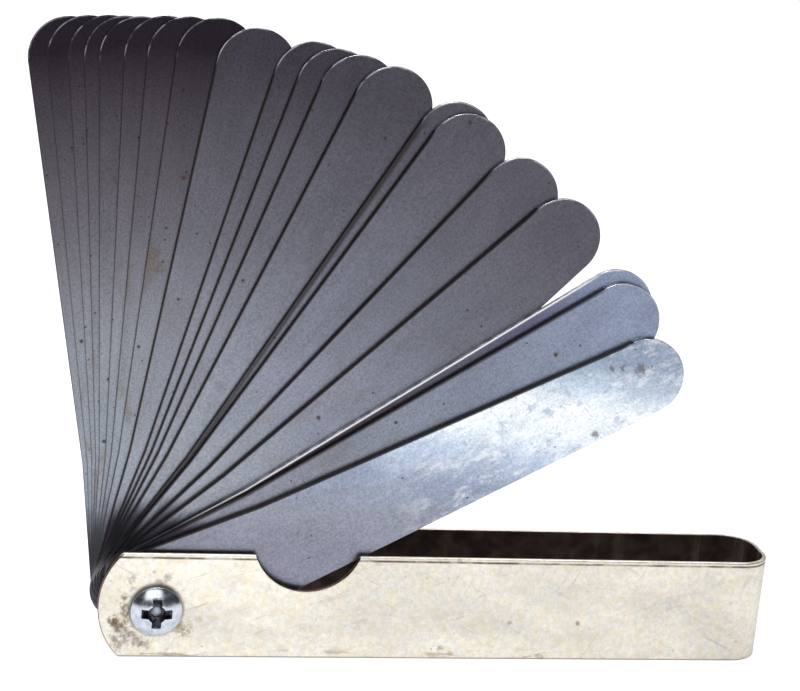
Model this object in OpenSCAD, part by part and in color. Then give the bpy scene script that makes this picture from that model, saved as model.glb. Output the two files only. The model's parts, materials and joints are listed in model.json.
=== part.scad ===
// Feeler gauge: a fan of thickness leaves on a screw pivot, in a case folded from one steel strip.
//
// The case stands on its long lower edge. X runs along the case, from the pivot towards the bend.
// Y runs across the stack of leaves, from the screw head towards the nut. Z is up.
// The origin is on the front wall's lower edge, at the middle of its thickness, right below the pivot.
// Every leaf turns about one axis: the screw's, along Y at x = 0, z = pivot_h.

/* [Case] */
// Height of the strip that the case is folded from
case_h = 17.6; // [16.5:0.1:20]
// Width of the case over its two walls
case_w = 14.4; // [14.2:0.1:18]
// Distance from the pivot to the outside of the bend
bend_x = 103.3; // [98:0.1:110]
// Thickness of the strip
sheet_t = 0.8; // [0.5:0.1:0.9]
// Outside radius of the two corners of the bend
bend_r = 5.5; // [3:0.1:7]
// Height of the pivot above the lower edge
pivot_h = 8.1; // [8:0.1:9]
// Radius of the rounded free end of each wall
end_r = 12.5; // [10:0.1:16]
// Distance from the pivot to the tip of that free end
end_reach = 9.25; // [8.5:0.05:10]

/* [Thumb notch] */
// Distance from the pivot to the middle of the notch
notch_x = 23.9; // [20:0.1:60]
// Width of the notch at the upper edge
notch_w = 16.8; // [12:0.1:20]
// Depth of the notch
notch_d = 6; // [3:0.1:6.5]

/* [Leaves] */
// Number of leaves
leaf_count = 20; // [20]
// Step in thickness from one leaf to the next, and the thickness of the first
leaf_step = 0.05; // [0.05]
// Distance from the pivot to the tip
leaf_reach = 93; // [80:0.5:93]
// Width of the rounded tip
tip_w = 12.66; // [10:0.02:13]
// Width where the taper ends and the heel begins to flare
neck_w = 15.6; // [13:0.1:16]
// Distance from the pivot to that neck
neck_x = 22; // [15:0.5:30]
// Radius of the heel, behind and below the pivot
heel_r = 8.1; // [7.5:0.1:8.1]
// Height of the heel's shoulder over the pivot, on the leaf's upper side
shoulder_h = 9.75; // [8.6:0.05:10]
// Clearance between neighbouring leaves
leaf_gap = 0.03; // [0.02:0.01:0.04]

/* [Pivot] */
// Major diameter of the screw's thread
screw_d = 4; // [4]
// Length of the screw under its head
screw_l = 20; // [19.5:0.5:22]
// Diameter of the screw head
head_d = 8.2; // [7.6:0.1:8.6]
// Height of the screw head
head_h = 2.35; // [2:0.05:2.6]
// Outside diameter of the sleeve that the leaves turn on
sleeve_d = 6; // [5.5:0.1:6.5]
// Outside diameter of the washers inside the case
washer_d = 12; // [10:0.1:14]
// Thickness of the front washer
front_washer_t = 0.7; // [0.6:0.1:0.8]
// Thickness of the rear washer
rear_washer_t = 0.3; // [0.2:0.1:0.4]
// Thickness of the material of the conical friction spring
spring_t = 0.4; // [0.3:0.05:0.5]

/* [Hidden] */
$fn = 96;

// Rest angle of each leaf above the closed position, thinnest leaf first, in degrees.
REST_ANGLES = [101.5, 99.6, 97.5, 95.9, 94.4, 91.9, 89.6, 86.7, 82.6, 76.6,
               74.2, 71.8, 68.2, 60.8, 59.2, 51.9, 45.6, 36, 34.5, 27.9];

// How far each leaf's tip stands past or short of leaf_reach, thinnest leaf first: they are not all equal.
REACH_SPREAD = [0.2, 0, -0.2, -0.4, -0.5, -0.3, -0.2, 0.1, -0.4, -0.2,
                -0.1, 0.3, 0.9, 1, 0.5, 0.4, 0.8, 1.1, 0.9, 0.6];

// Places across the stack.
front_face = -sheet_t / 2;
front_inner = sheet_t / 2;
back_face = front_face + case_w;
back_inner = back_face - sheet_t;

// The thickest leaf lies against the front washer, and each one behind it is a step thinner.
function leaf_t(i) = i * leaf_step;
function thicker_leaves(i) = i == leaf_count ? 0 : leaf_t(i + 1) + leaf_gap + thicker_leaves(i + 1);
function leaf_y(i) = front_inner + front_washer_t + leaf_gap + thicker_leaves(i);
stack_back = leaf_y(1) + leaf_t(1);
rear_washer_y = stack_back + leaf_gap;
spring_y = rear_washer_y + rear_washer_t;
spring_h = back_inner - spring_y;

// A leaf is named by its thickness in hundredths of a millimetre.
function leaf_name(i) = let (n = i * 5) str("leaf_", n < 10 ? "00" : n < 100 ? "0" : "", n);

hole_clearance = 0.15;
running_clearance = 0.05;
thread_clearance = 0.02;

lock_washer_t = 0.9;
lock_washer_d = 7.6;
lock_washer_slit = 0.8;
nut_h = 3.2;
nut_flats = 7;
nut_bevel = 0.35;

shoulder_r = 3;
shoulder_back = 1.6;

crown_r = 6.5;
recess_span = 6.2;
recess_floor = 2.4;
recess_width = 1.5;
recess_depth = 1.7;

STEEL = [0.45, 0.47, 0.53];
BRIGHT = [0.72, 0.76, 0.84];
NICKEL = [0.90, 0.87, 0.79];
ZINC = [0.78, 0.80, 0.84];

// Extrudes an outline drawn in X and Z from y to y + depth.
module across(y, depth) {
    translate([0, y + depth, 0]) rotate([90, 0, 0]) linear_extrude(depth) children();
}

// Puts children drawn about Z onto the pivot axis, starting at y and growing towards the nut.
module on_pivot(y) {
    translate([0, y, pivot_h]) rotate([-90, 0, 0]) children();
}

module ring(outer_d, inner_d, height) {
    difference() {
        cylinder(d = outer_d, h = height);
        translate([0, 0, -1]) cylinder(d = inner_d, h = height + 2);
    }
}

// Plan of the folded strip, drawn solid: inset is 0 for its outside and sheet_t for its inside.
module fold_plan(inset) {
    r = bend_r - inset;
    corner_x = bend_x - bend_r;
    low = front_face + inset;
    high = back_face - inset;
    open_end = -end_reach - 2 - inset;
    translate([open_end, low]) square([corner_x - open_end, high - low]);
    for (y = [low + r, high - r]) translate([corner_x, y]) circle(r);
    translate([corner_x, low + r]) square([r, high - low - 2 * r]);
}

// Side view of each wall: a long strip with a rounded free end.
module wall_outline() {
    translate([end_r - end_reach, case_h / 2]) circle(end_r);
    translate([end_r - end_reach, -1]) square([bend_x, case_h + 2]);
}

module thumb_notch() {
    half = notch_w / 2;
    r = (half * half + notch_d * notch_d) / (2 * notch_d);
    translate([notch_x, front_face - 1, case_h - notch_d + r])
        rotate([-90, 0, 0]) cylinder(r = r, h = case_w + 2);
}

module case_strip() {
    color(NICKEL) difference() {
        intersection() {
            linear_extrude(case_h) difference() {
                fold_plan(0);
                fold_plan(sheet_t);
            }
            across(front_face - 1, case_w + 2) wall_outline();
        }
        thumb_notch();
        on_pivot(front_face - 1) cylinder(d = screw_d + 2 * hole_clearance, h = case_w + 2);
    }
}

tip_r = tip_w / 2;

// The shoulder is a small circle on the heel's upper side, and meets the heel's own circle in a corner.
shoulder_c = [-shoulder_back, shoulder_h - shoulder_r];
shoulder_far = norm(shoulder_c);
corner_angle = atan2(shoulder_c.y, shoulder_c.x)
    + acos((shoulder_far ^ 2 + heel_r ^ 2 - shoulder_r ^ 2) / (2 * shoulder_far * heel_r));
heel_corner = heel_r * [cos(corner_angle), sin(corner_angle)];
shoulder_end = 180 - atan2(heel_corner.y - shoulder_c.y, shoulder_c.x - heel_corner.x);

// Points along an arc, turning anticlockwise from angle a to angle b.
function arc(centre, r, a, b, steps) =
    [for (k = [0 : steps]) let (t = a + (b - a) * k / steps) centre + r * [cos(t), sin(t)]];

// The taper's straight sides run from the neck to where they touch the tip's circle.
module leaf_outline(reach) {
    tip_x = reach - tip_r;
    taper = atan2(neck_w / 2, tip_x - neck_x) - asin(tip_r / norm([tip_x - neck_x, neck_w / 2]));
    polygon(concat(
        arc([tip_x, 0], tip_r, taper - 90, 90 - taper, 48),
        [[neck_x, neck_w / 2]],
        arc(shoulder_c, shoulder_r, 90, shoulder_end, 12),
        arc([0, 0], heel_r, corner_angle + 3, 270, 36),
        [[neck_x, -neck_w / 2]]));
}

module leaf(i) {
    y = leaf_y(i);
    t = leaf_t(i);
    color(i == leaf_count ? BRIGHT : STEEL)
        translate([0, 0, pivot_h]) rotate([0, -REST_ANGLES[i - 1], 0]) difference() {
            across(y, t) leaf_outline(leaf_reach + REACH_SPREAD[i - 1]);
            translate([0, y - 1, 0]) rotate([-90, 0, 0])
                cylinder(d = sleeve_d + 2 * running_clearance, h = t + 2);
        }
}

module cross_recess() {
    for (turn = [0, 90]) rotate([0, 0, turn]) rotate([90, 0, 0])
        linear_extrude(recess_width, center = true) polygon([
            [-recess_span / 2, -0.1],
            [recess_span / 2, -0.1],
            [recess_floor / 2, recess_depth],
            [-recess_floor / 2, recess_depth]]);
    cylinder(d1 = recess_floor + 0.7, d2 = recess_floor - 0.6, h = recess_depth + 0.2);
}

// The head's crown faces the front, and its underside lies on the front wall.
module pivot_screw() {
    color(ZINC) on_pivot(front_face - head_h) {
        difference() {
            rotate_extrude() intersection() {
                translate([0, crown_r]) circle(crown_r);
                square([head_d / 2, head_h]);
            }
            cross_recess();
        }
        translate([0, 0, head_h]) cylinder(d = screw_d, h = screw_l);
    }
}

module pivot_sleeve() {
    color(ZINC) on_pivot(front_inner)
        ring(sleeve_d, screw_d + 2 * hole_clearance, back_inner - front_inner);
}

module front_washer() {
    color(ZINC) on_pivot(front_inner)
        ring(washer_d, sleeve_d + 2 * running_clearance, front_washer_t);
}

module rear_washer() {
    color(ZINC) on_pivot(rear_washer_y)
        ring(washer_d, sleeve_d + 2 * running_clearance, rear_washer_t);
}

// A conical spring: its rim presses on the rear washer and its inner edge on the rear wall.
module friction_spring() {
    inner = sleeve_d / 2 + 2 * running_clearance;
    color(ZINC) on_pivot(spring_y) rotate_extrude() polygon([
        [inner, spring_h - spring_t],
        [washer_d / 2, 0],
        [washer_d / 2, spring_t],
        [inner, spring_h]]);
}

module lock_washer() {
    color(ZINC) on_pivot(back_face) difference() {
        ring(lock_washer_d, screw_d + 2 * hole_clearance, lock_washer_t);
        translate([0, 0, lock_washer_t / 2]) rotate([20, 0, 0])
            translate([0, -lock_washer_slit / 2, -2]) cube([lock_washer_d, lock_washer_slit, 4]);
    }
}

module hex_nut() {
    corner_r = nut_flats / 2 / cos(30);
    bevelled_r = nut_flats / 2 - 0.1;
    color(ZINC) on_pivot(back_face + lock_washer_t) difference() {
        intersection() {
            cylinder(r = corner_r, h = nut_h, $fn = 6);
            rotate_extrude() polygon([
                [0, 0],
                [bevelled_r, 0],
                [corner_r + 0.05, nut_bevel],
                [corner_r + 0.05, nut_h - nut_bevel],
                [bevelled_r, nut_h],
                [0, nut_h]]);
        }
        translate([0, 0, -1]) cylinder(d = screw_d + 2 * thread_clearance, h = nut_h + 2);
    }
}

case_strip();
pivot_screw();
pivot_sleeve();
front_washer();
rear_washer();
friction_spring();
lock_washer();
hex_nut();
for (i = [1 : leaf_count]) leaf(i);
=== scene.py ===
import json
import math

import bmesh
import bpy
from mathutils import Matrix, Vector


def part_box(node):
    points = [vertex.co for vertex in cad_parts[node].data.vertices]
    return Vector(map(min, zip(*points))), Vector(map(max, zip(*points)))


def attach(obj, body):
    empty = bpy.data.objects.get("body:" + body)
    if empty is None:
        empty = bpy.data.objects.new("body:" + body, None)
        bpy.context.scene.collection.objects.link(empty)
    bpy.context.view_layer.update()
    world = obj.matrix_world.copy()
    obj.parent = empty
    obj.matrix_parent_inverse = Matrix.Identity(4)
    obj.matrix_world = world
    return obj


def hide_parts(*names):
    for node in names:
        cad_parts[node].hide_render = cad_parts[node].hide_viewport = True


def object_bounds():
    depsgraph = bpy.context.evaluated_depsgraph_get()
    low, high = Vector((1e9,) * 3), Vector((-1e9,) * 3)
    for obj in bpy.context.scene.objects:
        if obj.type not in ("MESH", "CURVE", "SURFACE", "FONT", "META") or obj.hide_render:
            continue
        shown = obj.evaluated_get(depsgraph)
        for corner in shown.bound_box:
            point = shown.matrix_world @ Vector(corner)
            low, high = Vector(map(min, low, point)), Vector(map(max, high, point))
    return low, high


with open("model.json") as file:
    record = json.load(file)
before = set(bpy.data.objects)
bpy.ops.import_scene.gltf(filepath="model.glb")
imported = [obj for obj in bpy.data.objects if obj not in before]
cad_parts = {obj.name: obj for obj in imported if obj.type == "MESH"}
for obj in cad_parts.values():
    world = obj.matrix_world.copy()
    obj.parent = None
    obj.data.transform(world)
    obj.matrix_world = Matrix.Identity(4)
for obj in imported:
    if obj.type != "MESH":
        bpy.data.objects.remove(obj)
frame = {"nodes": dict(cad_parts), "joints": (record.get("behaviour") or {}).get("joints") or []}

cad_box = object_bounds()

MM = 0.001
JOINTS = {joint["child"]: joint for joint in frame["joints"]}
LEAVES = sorted(name for name in frame["nodes"] if name.startswith("leaf_"))
PIVOT = Vector(JOINTS[LEAVES[0]]["pos_m"])

# Outline of a leaf in millimetres, as the CAD model draws it. X runs from the pivot, and a half width is
# from the leaf's middle line to its upper side.
TIP_R = 6.33
NECK_X = 22
NECK_HALF = 7.8
SHOULDER_X = -1.6
SHOULDER_HALF = 9.75

# The screw in millimetres: height of its head, radius of its crown and radius of its shank.
HEAD_H = 2.35
CROWN_R = 6.5
SHANK_R = 2.0

# Leaves are counted from the thinnest. These have a look of their own: the first few have fainter painted
# highlights on their ends, the shaded leaf a wider line of painted shade, the shadowed leaf a painted shadow
# with a painted highlight along its edge, and the bright leaf a painted sheen.
THIN_LEAVES = 8
FAINT_END_LEAVES = 5
SHADED_LEAF = 14
SHADOWED_LIT_EDGE_LEAF = 18
BLUE_LEAF = 19
BRIGHT_LEAF = 20


# ---------------------------------------------------------------- node trees

class Material:
    """A node material under construction. Its methods add nodes, and most return an output socket."""

    def __init__(self, name):
        self.data = bpy.data.materials.new(name)
        self.data.use_nodes = True
        self.tree = self.data.node_tree
        self.tree.nodes.clear()
        self.shader = self.tree.nodes.new("ShaderNodeBsdfPrincipled")
        output = self.tree.nodes.new("ShaderNodeOutputMaterial")
        self.tree.links.new(self.shader.outputs["BSDF"], output.inputs["Surface"])
        self.place = self.tree.nodes.new("ShaderNodeTexCoord").outputs["Object"]

    def feed(self, socket, value):
        """Links a socket, or sets it to a plain value."""
        if isinstance(value, bpy.types.NodeSocket):
            self.tree.links.new(value, socket)
        else:
            socket.default_value = value

    def add(self, kind, inputs, **settings):
        node = self.tree.nodes.new("ShaderNode" + kind)
        for key, value in settings.items():
            setattr(node, key, value)
        for key, value in inputs.items():
            self.feed(node.inputs[key], value)
        return node

    def stretched(self, per_mm, offset=(0, 0, 0)):
        """Object coordinates scaled to pattern cells per millimetre on each axis."""
        inputs = {"Vector": self.place, "Scale": tuple(count / MM for count in per_mm), "Location": offset}
        return self.add("Mapping", inputs).outputs["Vector"]

    def noise(self, per_mm, offset=(0, 0, 0), detail=3.0, rough=0.55, warp=0.0):
        vector = self.stretched(per_mm, offset)
        inputs = {"Vector": vector, "Scale": 1.0, "Detail": detail, "Roughness": rough, "Distortion": warp}
        return self.add("TexNoise", inputs).outputs["Fac"]

    def cells(self, per_mm, offset):
        """Points scattered over X and Z: distance to the nearest one, and a random colour for each."""
        flat = self.add("CombineXYZ", {"X": self.part(self.place, "X"), "Y": self.part(self.place, "Z")})
        scale = (per_mm / MM,) * 3
        vector = self.add("Mapping", {"Vector": flat.outputs["Vector"], "Scale": scale, "Location": offset})
        inputs = {"Vector": vector.outputs["Vector"], "Scale": 1.0}
        node = self.add("TexVoronoi", inputs, voronoi_dimensions="2D")
        return node.outputs["Distance"], node.outputs["Color"]

    def span(self, value, low, high, to_low=0.0, to_high=1.0):
        """Maps low..high to to_low..to_high with a smooth step, held at both ends."""
        inputs = {"Value": value, "From Min": low, "From Max": high, "To Min": to_low, "To Max": to_high}
        return self.add("MapRange", inputs, interpolation_type="SMOOTHSTEP").outputs["Result"]

    def span_straight(self, value, low, high, to_low, to_high):
        """Maps low..high to to_low..to_high along a straight line that goes on past both ends."""
        inputs = {"Value": value, "From Min": low, "From Max": high, "To Min": to_low, "To Max": to_high}
        return self.add("MapRange", inputs, clamp=False).outputs["Result"]

    def calc(self, operation, a, b=0.0):
        node = self.add("Math", {}, operation=operation)
        self.feed(node.inputs[0], a)
        self.feed(node.inputs[1], b)
        return node.outputs["Value"]

    def product(self, *values):
        result = values[0]
        for value in values[1:]:
            result = self.calc("MULTIPLY", result, value)
        return result

    def distance(self, x, z):
        """Distance from the origin to a point in a plane."""
        return self.calc("SQRT", self.calc("ADD", self.product(x, x), self.product(z, z)))

    def ramp(self, value, stops):
        """Colours along a line: stops are pairs of a place in millimetres and a colour."""
        longest = stops[-1][0]
        node = self.add("ValToRGB", {"Fac": self.calc("DIVIDE", value, longest * MM)})
        elements = node.color_ramp.elements
        while len(elements) < len(stops):
            elements.new(1.0)
        for element, (place_mm, colour) in zip(elements, stops):
            element.position = place_mm / longest
            element.color = rgba(colour)
        return node.outputs["Color"]

    def part(self, vector, axis):
        return self.add("SeparateXYZ", {"Vector": vector}).outputs[axis]

    def blend(self, factor, low, high, mode="MIX"):
        """Mixes two colours; the factor is a number or a socket."""
        node = self.add("Mix", {}, data_type="RGBA", blend_type=mode)
        self.feed(node.inputs[0], factor)
        self.feed(node.inputs[6], rgba(low))
        self.feed(node.inputs[7], rgba(high))
        return node.outputs[2]

    def shade(self, colour, factor):
        """A colour made lighter or darker by a factor."""
        grey = self.add("CombineColor", {"Red": factor, "Green": factor, "Blue": factor}).outputs["Color"]
        return self.blend(1.0, colour, grey, "MULTIPLY")

    def bump(self, height, depth_mm, normal=None):
        inputs = {"Height": height, "Distance": depth_mm * MM, "Strength": 1.0}
        if normal is not None:
            inputs["Normal"] = normal
        return self.add("Bump", inputs).outputs["Normal"]

    def set(self, **inputs):
        """Feeds the Principled shader's inputs and returns the finished material. Underscores stand for the
        spaces in the inputs' names."""
        for key, value in inputs.items():
            name = key.replace("_", " ").replace("Ior", "IOR")
            if name == "Base Color":
                value = rgba(value)
            self.feed(self.shader.inputs[name], value)
        return self.data


def rgba(colour):
    if isinstance(colour, bpy.types.NodeSocket):
        return colour
    return (*colour[:3], 1.0)


# ---------------------------------------------------------------- materials

RUST = (0.10, 0.045, 0.02)
# The grime colour also paints the shade lines along the leaves.
GRIME_AND_SHADE = (0.030, 0.021, 0.017)


def specks(m, per_mm, radius_mm, share, offset):
    """Scattered round spots: 1 in a spot, 0 outside. share is how many of the cells hold one."""
    distance, colour = m.cells(per_mm, offset)
    chosen = m.calc("GREATER_THAN", m.part(colour, "X"), 1.0 - share)
    size = m.span(m.part(colour, "Y"), 0.0, 1.0, 0.3 * radius_mm * per_mm, radius_mm * per_mm)
    inside = m.span(m.calc("DIVIDE", distance, size), 0.6, 1.1, 1.0, 0.0)
    return m.product(chosen, inside)


def blot(m, place_mm, radius_mm, offset):
    """One soft stain with a ragged outline round a place given in X and Z: 1 at its core, 0 outside."""
    x = m.calc("SUBTRACT", m.part(m.place, "X"), place_mm[0] * MM)
    z = m.calc("SUBTRACT", m.part(m.place, "Z"), place_mm[1] * MM)
    ragged = m.span(m.noise((1.1, 1.1, 1.1), (offset,) * 3, detail=5.0, rough=0.65), 0.3, 0.7, 0.35, 1.7)
    share = m.calc("DIVIDE", m.distance(x, z), m.product(ragged, radius_mm * MM))
    return m.span(share, 0.35, 1.15, 1.0, 0.0)


def leaf_steel(name, seed, stops, reach, pivot_shade_strength, scuffs, stains, rim, line, line_colour):
    """Ground spring steel. Its object's X runs from the pivot to the tip, and Z across the leaf.

    rim is the strength of the painted highlight band at the tip. line is the width in millimetres of the
    painted line along the upper side, and its strength: painted shade in a dark line_colour, a painted
    highlight in a light one.
    """
    m = Material(name)
    shift = (seed * 3.7, seed * 5.3, seed * 1.9)
    along = m.part(m.place, "X")
    across = m.part(m.place, "Z")
    # The painted sheen of a scuffed leaf lies at a slant across it.
    slant = m.calc("ADD", along, m.product(across, 1.5)) if scuffs else along
    colour = m.ramp(slant, stops)

    fine = m.noise((0.06, 0.5, 7.0), shift, detail=3.0, rough=0.7)
    grain = m.noise((3.1, 3.1, 3.1), shift, detail=2.0, rough=0.6)
    cloud = m.noise((0.06, 0.06, 0.13), shift, detail=5.0, rough=0.55, warp=0.3)
    colour = m.shade(colour, m.span(fine, 0.25, 0.75, 0.94, 1.06))
    colour = m.shade(colour, m.span(grain, 0.3, 0.7, 0.86, 1.14))
    colour = m.shade(colour, m.span(cloud, 0.3, 0.7, 0.88, 1.12))
    tint = m.span(m.noise((2.3, 2.3, 2.3), shift, detail=1.0), 0.45, 0.75, 0.0, 0.30)
    colour = m.blend(tint, colour, (0.30, 0.28, 0.20), "OVERLAY")
    patch = m.span(m.noise((0.10, 0.1, 0.20), shift, detail=5.0, warp=0.4), 0.56, 0.66)
    patch = m.product(patch, m.span(along, 64 * MM, 74 * MM, 1.0, 0.0), stains * 1.5)
    colour = m.blend(patch, colour, (0.80, 0.66, 0.48), "MULTIPLY")
    # Without scuffs, the tip gets a painted highlight band.
    if scuffs:
        colour = scuffed(m, colour, along, shift, scuffs)
    else:
        colour = m.blend(m.product(tip_band_highlight(m, along, across, reach), rim), colour, (0.50, 0.50, 0.53))

    # A painted shade line lies along the upper side, a painted highlight where its colour is light, and
    # painted shade creeps out from the pivot.
    neck = (NECK_X * MM, NECK_HALF * MM)
    tip_x = reach - TIP_R * MM
    taper = m.span_straight(along, neck[0], tip_x, neck[1], TIP_R * MM)
    shoulder = m.span_straight(along, SHOULDER_X * MM, neck[0], SHOULDER_HALF * MM, neck[1])
    inset = m.calc("SUBTRACT", m.calc("MAXIMUM", taper, shoulder), across)
    width_mm, strength = line
    edge = m.product(m.span(inset, 0.4 * width_mm * MM, width_mm * MM, 1.0, 0.0),
                     m.span(along, reach - 9 * MM, reach - 4 * MM, 1.0, 0.0), strength)
    colour = m.blend(edge, colour, line_colour)
    wander = m.span(m.noise((0.10, 0.4, 0.5), shift), 0.3, 0.7, -1.5 * MM, 1.5 * MM)
    ragged = m.calc("ADD", m.distance(along, across), wander)
    pivot_shade = m.product(m.span(ragged, 11.5 * MM, 17.0 * MM, 1.0, 0.0), pivot_shade_strength)
    colour = m.blend(pivot_shade, colour, (0.032, 0.028, 0.040))

    rust = specks(m, 0.18, 0.42, 0.03 + 0.5 * stains, shift)
    pits = specks(m, 0.55, 0.24, 0.01 + 0.16 * stains, shift[::-1])
    colour = m.blend(m.product(rust, 0.75), colour, RUST)
    colour = m.blend(m.product(pits, 0.55), colour, GRIME_AND_SHADE)

    spots = m.calc("MAXIMUM", rust, pits)
    rough = m.span(cloud, 0.3, 0.7, 0.31, 0.40)
    rough = m.calc("ADD", rough, m.product(spots, 0.25))
    rough = m.calc("ADD", rough, m.product(pivot_shade, 0.15))
    relief = m.bump(fine, 0.002)
    relief = m.bump(grain, 0.003, relief)
    return m.set(Base_Color=colour, Metallic=1.0, Roughness=rough, Normal=relief)


def tip_band_highlight(m, along, across, reach):
    """A thin painted highlight band inside the rounded end, broken here and there: 1 on it, 0 off it."""
    x = m.calc("SUBTRACT", along, reach - TIP_R * MM)
    band = m.span(m.distance(x, across), (TIP_R - 0.30) * MM, (TIP_R - 0.12) * MM)
    upper = m.product(m.span(across, -3.0 * MM, 1.0 * MM), m.span(x, -1.0 * MM, 1.5 * MM))
    broken = m.span(m.noise((0.35, 0.3, 0.35), (reach * 900,) * 3, detail=3.0), 0.42, 0.58, 0.05, 1.0)
    return m.product(band, upper, broken)


def scuffed(m, colour, along, shift, amount):
    """Bright rubbed patches, dull patches and short scratches on the outer two thirds of a leaf."""
    zone = m.product(m.span(along, 36 * MM, 56 * MM), amount)
    patch = m.span(m.noise((0.20, 0.3, 0.40), shift, detail=9.0, rough=0.80), 0.47, 0.62)
    colour = m.blend(m.product(patch, zone, 0.45), colour, (0.96, 0.98, 1.0))
    dull = m.span(m.noise((0.45, 0.3, 0.60), shift[::-1], detail=9.0, rough=0.80), 0.52, 0.66)
    colour = m.blend(m.product(dull, zone, 0.70), colour, (0.30, 0.38, 0.52))
    for turn, threshold in ((1.9, 0.68), (2.6, 0.72), (0.2, 0.70)):
        line = scratch_lines(m, turn, 0.30, 2.6, threshold)
        colour = m.blend(m.product(line, zone, 0.35), colour, (0.22, 0.28, 0.38))
    for x, z, radius_mm in ((87.0, 1.8, 1.1), (84.0, 3.2, 0.7), (82.5, 3.9, 0.6), (76.0, -5.2, 0.7)):
        stain = m.product(blot(m, (x, z), radius_mm, x), 0.75)
        colour = m.blend(stain, colour, (0.14, 0.12, 0.12))
    return colour


def sheared_side(name, colour):
    """The narrow straight sides of a leaf: a cut face, dark around the pivot with painted shade."""
    m = Material(name)
    tone = m.noise((0.7, 1.2, 1.2), detail=4.0)
    # Painted shade darkens the sides round the pivot.
    past_pivot_shade = m.span(m.part(m.place, "X"), 15 * MM, 28 * MM)
    colour = m.shade(m.blend(past_pivot_shade, (0.030, 0.026, 0.030), colour), m.span(tone, 0.3, 0.7, 0.5, 1.5))
    return m.set(Base_Color=colour, Metallic=0.9, Roughness=m.span(tone, 0.3, 0.7, 0.35, 0.55),
                 Normal=m.bump(tone, 0.01))


def end_face_highlight(name, colour):
    """The rounded end of a leaf, ground smooth. Its colour is a painted highlight."""
    m = Material(name)
    tone = m.noise((0.5, 1.2, 0.5), detail=4.0)
    colour = m.shade(colour, m.span(tone, 0.35, 0.65, 0.35, 1.3))
    return m.set(Base_Color=colour, Metallic=1.0, Roughness=m.span(tone, 0.3, 0.7, 0.20, 0.32),
                 Normal=m.bump(tone, 0.01))


def scratch_lines(m, turn, per_mm_along, per_mm_across, threshold):
    """Thin straight marks, turned about Y: 1 on a mark, 0 off it."""
    turned = m.add("VectorRotate", {"Vector": m.place, "Angle": turn}, rotation_type="Y_AXIS")
    scale = (per_mm_along / MM, 0.1 / MM, per_mm_across / MM)
    inputs = {"Vector": turned.outputs["Vector"], "Scale": scale, "Location": (turn * 7,) * 3}
    vector = m.add("Mapping", inputs).outputs["Vector"]
    line = m.add("TexNoise", {"Vector": vector, "Scale": 1.0, "Detail": 1.0}).outputs["Fac"]
    return m.span(line, threshold, threshold + 0.05)


def nickel_plate(top):
    """Worn nickel plating on the outside of the case. top is the height of its upper edge."""
    m = Material("nickel_plate")
    warm, pale, cool = (0.86, 0.79, 0.63), (0.92, 0.89, 0.80), (0.76, 0.79, 0.84)
    mottle = m.noise((0.45, 0.45, 0.45), detail=6.0, rough=0.65, warp=0.5)
    tint = m.noise((1.9, 1.9, 1.9), (7.0, 3.0, 5.0), detail=2.0, rough=0.6)
    blush = m.noise((2.2, 2.2, 2.2), (1.0, 8.0, 2.0), detail=2.0, rough=0.6)
    broad = m.noise((0.035, 0.05, 0.07), (2.0, 9.0, 4.0), detail=4.0, warp=0.5)
    colour = m.blend(m.span(mottle, 0.38, 0.62), warm, pale)
    colour = m.blend(m.span(tint, 0.48, 0.66, 0.0, 0.65), colour, cool)
    colour = m.blend(m.span(blush, 0.50, 0.68, 0.0, 0.45), colour, (0.90, 0.79, 0.74))
    colour = m.shade(colour, m.span(broad, 0.3, 0.7, 0.80, 1.02))
    colour = m.shade(colour, m.span_straight(m.part(m.place, "X"), 0.0, 100 * MM, 1.04, 0.84))
    # Painted shade darkens the outside of the bend.
    colour = m.shade(colour, m.span(m.part(m.place, "X"), 100.5 * MM, 103.0 * MM, 1.0, 0.70))
    grit = m.noise((1.4, 1.4, 1.4), (6.0, 6.0, 1.0), detail=4.0, rough=0.7)
    colour = m.shade(colour, m.span(grit, 0.3, 0.7, 0.88, 1.08))
    smudge = m.span(m.noise((0.09, 0.1, 0.13), (5.0, 2.0, 8.0), detail=5.0, warp=1.0), 0.56, 0.72)
    colour = m.blend(m.product(smudge, 0.45), colour, (0.62, 0.58, 0.48))

    colour = screw_stains(m, colour)
    colour = edge_marks(m, colour, top)

    pits = specks(m, 0.55, 0.20, 0.05, (1.0, 2.0, 3.0))
    stains = specks(m, 0.10, 0.55, 0.25, (4.0, 1.0, 6.0))
    colour = m.blend(m.product(stains, 0.45), colour, (0.22, 0.16, 0.10))
    colour = m.blend(m.product(pits, 0.40), colour, (0.20, 0.14, 0.09))
    scratch = scratches(m)
    colour = m.blend(m.product(scratch, 0.22), colour, (0.42, 0.36, 0.28))
    rough = m.calc("ADD", m.span(mottle, 0.3, 0.7, 0.32, 0.48), m.product(scratch, 0.1))
    relief = m.bump(mottle, 0.010)
    relief = m.bump(m.calc("ADD", scratch, pits), -0.010, relief)
    return m.set(Base_Color=colour, Metallic=1.0, Roughness=rough, Normal=relief)


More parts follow.
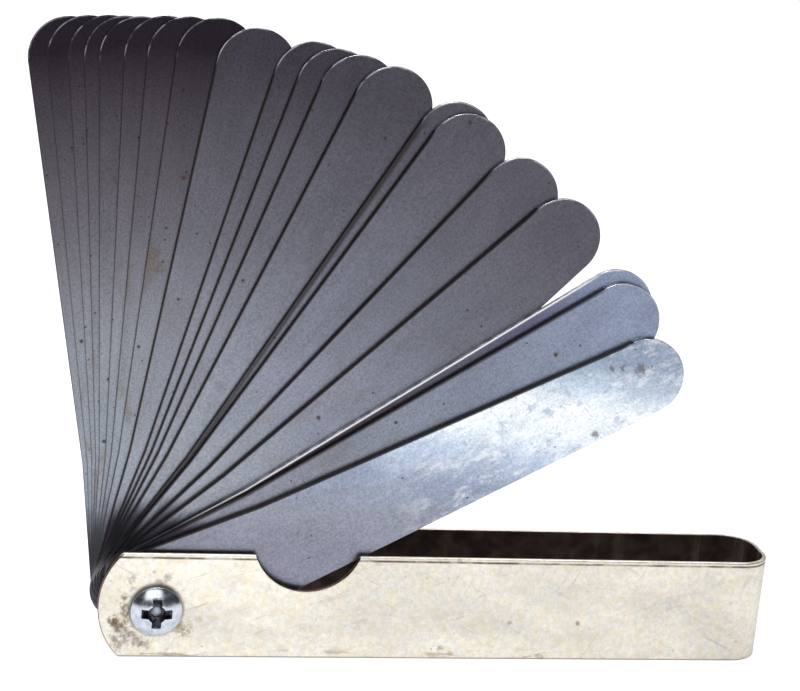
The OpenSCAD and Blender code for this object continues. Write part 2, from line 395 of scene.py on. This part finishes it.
def screw_stains(m, colour):
    """Dark stains gather on the lower left of the screw's head, with a few further along the front wall. A
    dark ring round the head is partly stain and partly painted contact shadow.

    Each mark is a place in X and Z from the pivot, a radius in millimetres and a strength.
    """
    pivot = (PIVOT.x / MM, PIVOT.z / MM)
    marks = [((-5.5, -2.6), 1.5, 0.80), ((-4.6, -4.2), 1.5, 0.85), ((-6.7, -1.8), 0.9, 0.85),
             ((-5.1, 1.9), 0.7, 0.80), ((-5.0, 0.5), 0.8, 0.80), ((-4.9, -0.8), 0.8, 0.80),
             ((-2.6, -5.2), 1.3, 0.60), ((-6.4, -5.2), 0.9, 0.65), ((-5.4, -6.3), 0.8, 0.55),
             ((-1.5, -5.9), 1.0, 0.45), ((-4.0, 5.0), 0.8, 0.45), ((-3.9, 3.6), 0.6, 0.40),
             ((0.3, 4.6), 1.1, 0.55), ((1.6, 5.6), 0.7, 0.50), ((4.3, -3.2), 1.4, 0.60),
             ((6.9, -1.6), 0.8, 0.25), ((47.1, -6.1), 0.6, 0.50), ((48.8, -7.2), 0.6, 0.45),
             ((64.1, -7.5), 0.9, 0.45), ((69.8, -1.5), 0.45, 0.65)]
    front = m.calc("LESS_THAN", m.part(m.place, "Y"), 5 * MM)
    flaked = m.span(m.noise((1.3, 1.3, 1.3), (2.0, 2.0, 2.0), detail=5.0, rough=0.7), 0.38, 0.56, 0.40, 1.0)
    for (x, z), radius_mm, strength in marks:
        stain = blot(m, (pivot[0] + x, pivot[1] + z), radius_mm, x * 3.1)
        colour = m.blend(m.product(stain, flaked, strength, front), colour, (0.120, 0.066, 0.030))
    away = m.add("VectorMath", {0: m.place, 1: tuple(PIVOT)}, operation="DISTANCE").outputs["Value"]
    # The ring round the head is partly stain and partly painted contact shadow.
    contact_shadow_and_stain = m.product(m.span(away, 4.1 * MM, 4.9 * MM, 1.0, 0.0), 0.75)
    return m.blend(contact_shadow_and_stain, colour, (0.10, 0.075, 0.055))


def edge_marks(m, colour, top):
    """A broken dark line under the upper edge, painted shade where the rolled edge turns, and a dark skirt
    and stains along the lower edge.
    """
    height = m.part(m.place, "Z")
    # Painted shade in a broken line where the rolled upper edge turns.
    rolled_edge_shade = m.product(m.span(height, top - 0.98 * MM, top - 0.74 * MM),
                       m.span(height, top - 0.62 * MM, top - 0.40 * MM, 1.0, 0.0))
    broken = m.span(m.noise((0.35, 1.0, 1.0), (3.0, 3.0, 3.0), detail=4.0), 0.35, 0.6, 0.45, 0.95)
    colour = m.blend(m.product(rolled_edge_shade, broken), colour, (0.10, 0.07, 0.05))
    skirt = m.span(height, 0.10 * MM, 0.40 * MM, 0.85, 0.0)
    colour = m.blend(skirt, colour, (0.13, 0.065, 0.045))
    spread = m.noise((0.12, 0.5, 0.7), (9.0, 1.0, 4.0), detail=5.0, warp=0.6)
    low_stain = m.product(m.span(height, 0.2 * MM, 2.6 * MM, 1.0, 0.0), m.span(spread, 0.56, 0.66))
    return m.blend(m.product(low_stain, 0.6), colour, (0.30, 0.21, 0.13))


def worn_edge():
    """The case's outline, where the plating has rubbed through to brown steel."""
    m = Material("worn_edge")
    tone = m.noise((0.8, 0.8, 0.8), detail=4.0)
    colour = m.blend(m.span(tone, 0.35, 0.65), (0.055, 0.028, 0.020), (0.20, 0.125, 0.090))
    return m.set(Base_Color=colour, Metallic=0.9, Roughness=m.span(tone, 0.3, 0.7, 0.35, 0.5),
                 Normal=m.bump(tone, 0.01))


def scratches(m):
    """Sparse thin marks at three angles."""
    marks = [scratch_lines(m, turn, 0.10, 3.0, 0.71) for turn in (0.35, -0.5, 1.1)]
    return m.calc("MAXIMUM", m.calc("MAXIMUM", marks[0], marks[1]), marks[2])


def case_inside():
    """The unpolished, oily inside of the case, with painted glint streaks near the bend."""
    m = Material("case_inside")
    mottle = m.noise((0.3, 0.3, 0.3), detail=5.0, warp=0.5)
    glint_streak = m.span(m.noise((0.5, 0.5, 0.04), (2.0, 2.0, 2.0), detail=3.0), 0.55, 0.75)
    colour = m.blend(m.span(mottle, 0.35, 0.7), (0.030, 0.017, 0.014), (0.070, 0.044, 0.035))
    # Painted glint in streaks, strongest near the bend.
    bend_glint = m.product(m.span(m.part(m.place, "X"), 93 * MM, 96 * MM), 0.9)
    colour = m.blend(m.product(glint_streak, m.calc("ADD", bend_glint, 0.06)), colour, (0.36, 0.29, 0.25))
    return m.set(Base_Color=colour, Metallic=0.5, Roughness=m.span(mottle, 0.3, 0.7, 0.35, 0.55),
                 Normal=m.bump(mottle, 0.02))


def zinc_plate(name="zinc_plate", threaded=False):
    m = Material(name)
    haze = m.noise((0.9, 0.9, 0.9), detail=4.0, rough=0.6)
    colour = m.blend(m.span(haze, 0.35, 0.65), (0.44, 0.49, 0.57), (0.62, 0.66, 0.73))
    marks = specks(m, 1.3, 0.12, 0.08, (3.0, 1.0, 2.0))
    colour = m.blend(m.product(marks, 0.6), colour, (0.12, 0.10, 0.09))
    relief = m.bump(haze, 0.006)
    if threaded:
        relief = m.bump(thread(m), 0.35, relief)
    rough = m.span(haze, 0.3, 0.7, 0.17, 0.28)
    return m.set(Base_Color=colour, Metallic=1.0, Roughness=rough, Normal=relief)


def thread(m):
    """A helical ridge about the pivot axis: 1 at its crest and 0 at its root."""
    pitch = 0.7 * MM
    radial = m.add("VectorMath", {0: m.place, 1: tuple(PIVOT)}, operation="SUBTRACT").outputs["Vector"]
    angle = m.calc("ARCTAN2", m.part(radial, "Z"), m.part(radial, "X"))
    advance = m.calc("DIVIDE", m.part(m.place, "Y"), pitch)
    turns = m.calc("ADD", advance, m.calc("DIVIDE", angle, 2 * math.pi))
    return m.calc("PINGPONG", m.calc("MULTIPLY", turns, 2.0), 1.0)


def recess_grime_and_shade():
    """The cross recess: dull and dirty, its dark colour partly painted shade, with a painted glint in the
    middle.
    """
    m = Material("recess_grime_and_shade")
    haze = m.noise((1.5, 1.5, 1.5), detail=4.0)
    colour = m.blend(m.span(haze, 0.35, 0.65), (0.020, 0.020, 0.026), (0.12, 0.13, 0.16))
    x = m.calc("SUBTRACT", m.part(m.place, "X"), PIVOT.x)
    z = m.calc("SUBTRACT", m.part(m.place, "Z"), PIVOT.z)
    # A painted glint round the middle of the recess.
    highlit = m.span(m.distance(x, z), 0.15 * MM, 0.95 * MM, 0.9, 0.0)
    highlit = m.product(highlit, m.span(haze, 0.3, 0.6, 0.6, 1.0))
    colour = m.blend(highlit, colour, (0.50, 0.55, 0.64))
    return m.set(Base_Color=colour, Metallic=0.9, Roughness=m.span(haze, 0.3, 0.7, 0.22, 0.40),
                 Normal=m.bump(haze, 0.02))


def spring_steel():
    m = Material("spring_steel")
    haze = m.noise((0.7, 0.7, 0.7), detail=4.0)
    colour = m.blend(m.span(haze, 0.35, 0.65), (0.14, 0.14, 0.16), (0.30, 0.31, 0.34))
    return m.set(Base_Color=colour, Metallic=1.0, Roughness=m.span(haze, 0.3, 0.7, 0.30, 0.45),
                 Normal=m.bump(haze, 0.01))


# ---------------------------------------------------------------- pieces

def clean_copy(node):
    """A bmesh of a CAD node, welded, with its flat stretches each joined to one face."""
    bm = bmesh.new()
    bm.from_mesh(frame["nodes"][node].data)
    bmesh.ops.remove_doubles(bm, verts=bm.verts, dist=0.002 * MM)
    bmesh.ops.dissolve_limit(bm, angle_limit=math.radians(0.4), verts=bm.verts, edges=bm.edges)
    return bm


def soften(bm, width_mm, segments=2):
    """Rounds every sharp edge."""
    sharp = [e for e in bm.edges if len(e.link_faces) == 2 and e.calc_face_angle() > math.radians(35)]
    bmesh.ops.bevel(bm, geom=sharp, offset=width_mm * MM, segments=segments, profile=0.5,
                    affect="EDGES", clamp_overlap=True)


def make_piece(name, bm, materials, node, body, place=None):
    """Turns a bmesh into a piece that stands for a CAD node and rides on its body."""
    mesh = bpy.data.meshes.new(name)
    bm.to_mesh(mesh)
    bm.free()
    for face in mesh.polygons:
        face.use_smooth = True
    mesh.set_sharp_from_angle(angle=math.radians(50))
    for material in materials:
        mesh.materials.append(material)
    piece = bpy.data.objects.new(name, mesh)
    bpy.context.scene.collection.objects.link(piece)
    if place is not None:
        piece.matrix_world = place
    normals = piece.modifiers.new("flat_faces_stay_flat", "WEIGHTED_NORMAL")
    normals.keep_sharp = True
    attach(piece, body)
    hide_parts(node)
    return piece


def make_leaf(node, materials):
    """A leaf in its own frame: X from the pivot to the tip, Y across its thickness, and Z across its width.

    materials are those of the two flat faces, the straight sides and the rounded tip.
    """
    rest = -JOINTS[node]["range_deg"][0]
    turn = Matrix.Translation(PIVOT) @ Matrix.Rotation(-math.radians(rest), 4, "Y")
    bm = clean_copy(node)
    bmesh.ops.transform(bm, matrix=turn.inverted(), verts=bm.verts)
    low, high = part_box(node)
    thickness_mm = (high.y - low.y) / MM
    soften(bm, min(0.09, 0.22 * thickness_mm))
    bm.normal_update()
    tip_x = max(vert.co.x for vert in bm.verts) - TIP_R * MM
    for face in bm.faces:
        rim = face.calc_center_median().x > tip_x
        face.material_index = 0 if abs(face.normal.y) > 0.9 else 2 if rim else 1
    return make_piece(node + "_blade", bm, materials, node, node, turn)


def make_case(materials):
    """The folded strip: bright outside, dark inside, and worn along its outline."""
    bm = clean_copy("case_strip")
    soften(bm, 0.28, 3)
    low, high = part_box("case_strip")
    middle = (low.y + high.y) / 2
    bend_start = high.x - (high.y - low.y) / 2
    bm.normal_update()
    for face in bm.faces:
        centre = face.calc_center_median()
        core = Vector((min(centre.x, bend_start), middle, centre.z))
        outward = (centre - core).normalized()
        flat = abs(outward.dot(face.normal))
        if outward.dot(face.normal) < -0.6:
            face.material_index = 1
        elif flat < 0.95 and centre.z < high.z - 0.5 * MM and centre.x < bend_start:
            face.material_index = 2
        elif centre.z < low.z + 0.2 * MM:
            face.material_index = 2
    return make_piece("case_shell", bm, materials, "case_strip", "case")


def make_screw(materials):
    """The screw: a bright head, a recess that is dirty and partly darkened with painted shade, and a
    threaded shank.
    """
    bm = clean_copy("pivot_screw")
    soften(bm, 0.14)
    low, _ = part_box("pivot_screw")
    head_back = low.y + HEAD_H * MM
    crown_r = CROWN_R * MM
    shank_r = SHANK_R * MM
    crown_centre = Vector((PIVOT.x, low.y + crown_r, PIVOT.z))
    bm.normal_update()
    for face in bm.faces:
        centre = face.calc_center_median()
        radial = Vector((centre.x - PIVOT.x, 0, centre.z - PIVOT.z)).length
        below_crown = crown_r - (centre - crown_centre).length
        if centre.y > head_back + 0.1 * MM and radial < shank_r + 0.1 * MM:
            face.material_index = 2
        elif radial < 3.0 * MM and centre.y < head_back and below_crown > 0.06 * MM:
            face.material_index = 1
    return make_piece("screw", bm, materials, "pivot_screw", "case")


def make_hardware(node, name, material, width_mm):
    bm = clean_copy(node)
    soften(bm, width_mm)
    return make_piece(name, bm, [material], node, "case")


def mixed(first, second, share):
    return tuple(a + (b - a) * share for a, b in zip(first, second))


def leaf_tones(number):
    """Colour stops along a leaf, counted from the thinnest; they paint the shading of the leaf's
    reflections. The thin ones have the darkest tips, painted shade. The shadowed leaf's stops paint the
    shadow of the leaf in front of it, and the bright leaf's stops paint a sheen.
    """
    dark = [(20, (0.272, 0.300, 0.355)), (40, (0.243, 0.258, 0.300)), (60, (0.132, 0.126, 0.150)),
            (76, (0.078, 0.069, 0.084)), (88, (0.024, 0.018, 0.027))]
    grey = [(20, (0.285, 0.305, 0.360)), (40, (0.232, 0.247, 0.310)), (60, (0.155, 0.163, 0.205)),
            (76, (0.124, 0.125, 0.156)), (88, (0.108, 0.103, 0.130))]
    if number == SHADOWED_LIT_EDGE_LEAF:
        return [(20, (0.070, 0.052, 0.063)), (45, (0.070, 0.060, 0.080)), (60, (0.105, 0.103, 0.140)),
                (76, (0.125, 0.128, 0.205)), (87, (0.230, 0.272, 0.390))]
    if number == BLUE_LEAF:
        return [(20, (0.240, 0.245, 0.305)), (40, (0.210, 0.228, 0.280)), (60, (0.195, 0.215, 0.280)),
                (76, (0.225, 0.258, 0.350)), (87, (0.235, 0.275, 0.385))]
    if number == BRIGHT_LEAF:
        return [(20, (0.235, 0.240, 0.310)), (34, (0.270, 0.285, 0.350)), (48, (0.280, 0.325, 0.440)),
                (58, (0.480, 0.560, 0.690)), (66, (0.760, 0.820, 0.880)), (75, (0.800, 0.840, 0.890)),
                (82, (0.480, 0.560, 0.670)), (90, (0.270, 0.325, 0.430))]
    share = 0.0 if number <= THIN_LEAVES else 0.4 + 0.6 * min(1.0, max(0.0, (number - 11) / 4))
    return [(place, mixed(low, high, share)) for (place, low), (_, high) in zip(dark, grey)]


def leaf_reach(node):
    """Distance from the pivot to the tip."""
    points = [vert.co for vert in frame["nodes"][node].data.vertices]
    return max(math.hypot(point.x - PIVOT.x, point.z - PIVOT.z) for point in points)


def leaf_line(number):
    """The painted shade line along a leaf's upper side: its width in millimetres and its strength."""
    if number <= THIN_LEAVES:
        return (0.22, 0.5)
    return {SHADED_LEAF: (1.10, 0.80), BLUE_LEAF: (0.45, 0.75)}.get(number, (0.40, 0.95))


def build_leaves():
    # The dark side colour is painted shade, and the highlit side colour a painted highlight.
    dark_side = sheared_side("dark_side", (0.030, 0.026, 0.030))
    highlit_side = sheared_side("highlit_side", (0.62, 0.63, 0.66))
    # Both end colours are painted highlights, the second a fainter one.
    end_highlight = end_face_highlight("end_highlight", (0.62, 0.63, 0.66))
    faint_end_highlight = end_face_highlight("faint_end_highlight", (0.26, 0.25, 0.30))
    for number, node in enumerate(LEAVES, start=1):
        bright = number == BRIGHT_LEAF
        thin = number <= THIN_LEAVES
        highlit = number == SHADOWED_LIT_EDGE_LEAF
        # On the shadowed leaf the light line and the light side are a painted highlight along its edge.
        steel = leaf_steel("steel_" + node, number, leaf_tones(number), leaf_reach(node),
                           pivot_shade_strength=0.0 if bright else 0.70 if thin else 0.85, scuffs=1.0 if bright else 0.0,
                           stains=0.45 if thin else 0.12, rim=0.45 if thin else 0.80,
                           line=leaf_line(number), line_colour=(0.80, 0.80, 0.84) if highlit else GRIME_AND_SHADE)
        side = highlit_side if highlit else dark_side
        make_leaf(node, [steel, side, faint_end_highlight if number <= FAINT_END_LEAVES else end_highlight])


def build_pieces():
    build_leaves()
    make_case([nickel_plate(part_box("case_strip")[1].z), case_inside(), worn_edge()])
    zinc = zinc_plate()
    make_screw([zinc, recess_grime_and_shade(), zinc_plate("zinc_thread", threaded=True)])
    make_hardware("pivot_sleeve", "sleeve", zinc, 0.1)
    make_hardware("front_washer", "washer_front", zinc, 0.1)
    make_hardware("rear_washer", "washer_rear", zinc, 0.06)
    make_hardware("friction_spring", "spring_cone", spring_steel(), 0.06)
    make_hardware("lock_washer", "washer_lock", zinc, 0.08)
    make_hardware("hex_nut", "nut", zinc, 0.1)


# ---------------------------------------------------------------- stage

def make_floor():
    mesh = bpy.data.meshes.new("floor")
    half = 3.0
    corners = [(-half, -half, 0), (half, -half, 0), (half, half, 0), (-half, half, 0)]
    mesh.from_pydata(corners, [], [(0, 1, 2, 3)])
    m = Material("floor")
    mesh.materials.append(m.set(Base_Color=(0.35, 0.35, 0.35), Roughness=0.9,
                                Emission_Color=(1, 1, 1, 1), Emission_Strength=0.88))
    floor = bpy.data.objects.new("floor", mesh)
    bpy.context.scene.collection.objects.link(floor)
    floor.location.z = cad_box[0].z


def make_light(name, place, aim, size, power, colour=(1, 1, 1)):
    data = bpy.data.lights.new(name, "AREA")
    data.shape = "RECTANGLE"
    data.size, data.size_y = size
    data.energy = power
    data.color = colour
    light = bpy.data.objects.new(name, data)
    bpy.context.scene.collection.objects.link(light)
    light.location = place
    light.rotation_euler = (Vector(aim) - Vector(place)).to_track_quat("-Z", "Y").to_euler()
    return light


def make_world():
    """White to the camera. To everything else it is brighter overhead and behind, and dim in front."""
    world = bpy.data.worlds.new("studio")
    bpy.context.scene.world = world
    world.use_nodes = True
    tree = world.node_tree
    tree.nodes.clear()

    def add(kind, **settings):
        node = tree.nodes.new("ShaderNode" + kind)
        for key, value in settings.items():
            setattr(node, key, value)
        return node

    direction = add("TexCoord").outputs["Generated"]
    parts = add("SeparateXYZ")
    tree.links.new(direction, parts.inputs[0])
    height = add("MapRange", interpolation_type="SMOOTHSTEP")
    tree.links.new(parts.outputs["Z"], height.inputs["Value"])
    for key, value in (("From Min", 0.0), ("From Max", 0.55), ("To Min", 0.35), ("To Max", 1.15)):
        height.inputs[key].default_value = value
    depth = add("MapRange", interpolation_type="SMOOTHSTEP")
    tree.links.new(parts.outputs["Y"], depth.inputs["Value"])
    for key, value in (("From Min", -0.25), ("From Max", 0.6), ("To Min", 0.10), ("To Max", 1.0)):
        depth.inputs[key].default_value = value
    level = add("Math", operation="MULTIPLY")
    tree.links.new(height.outputs["Result"], level.inputs[0])
    tree.links.new(depth.outputs["Result"], level.inputs[1])
    ambient = add("Background")
    tree.links.new(level.outputs["Value"], ambient.inputs["Strength"])
    plain = add("Background")
    plain.inputs["Strength"].default_value = 1.0
    plain.inputs["Color"].default_value = (1, 1, 1, 1)
    mix = add("MixShader")
    tree.links.new(add("LightPath").outputs["Is Camera Ray"], mix.inputs[0])
    tree.links.new(ambient.outputs[0], mix.inputs[1])
    tree.links.new(plain.outputs[0], mix.inputs[2])
    tree.links.new(mix.outputs[0], add("OutputWorld").inputs["Surface"])


def make_camera():
    """A long lens in front of the pivot end, looking down a little and along the case."""
    place = Vector((-34.83, -319.16, 139.0)) * MM
    azimuth, elevation, roll = math.radians(12.442), math.radians(14.746), math.radians(5.368)
    forward = Vector((math.sin(azimuth) * math.cos(elevation), math.cos(azimuth) * math.cos(elevation),
                      -math.sin(elevation)))
    right = forward.cross(Vector((0, 0, 1))).normalized()
    up = right.cross(forward)
    across = right * math.cos(roll) + up * math.sin(roll)
    above = up * math.cos(roll) - right * math.sin(roll)
    data = bpy.data.cameras.new("camera")
    data.sensor_width = 36.0
    data.lens = 96.76
    data.clip_start = 0.01
    camera = bpy.data.objects.new("camera", data)
    bpy.context.scene.collection.objects.link(camera)
    turn = Matrix((across, above, -forward)).transposed().to_4x4()
    camera.matrix_world = Matrix.Translation(place) @ turn
    bpy.context.scene.camera = camera


make_camera()
make_world()
make_floor()
make_light("overhead", (0.05, 0.05, 0.75), (0.04, 0.0, 0.03), (0.5, 0.35), 5.0)
make_light("front_softbox", (-0.10, -0.70, 0.58), (0.0, 0.0, 0.03), (0.75, 0.60), 2.6)
build_pieces()

bpy.context.scene.view_settings.view_transform = "Standard"
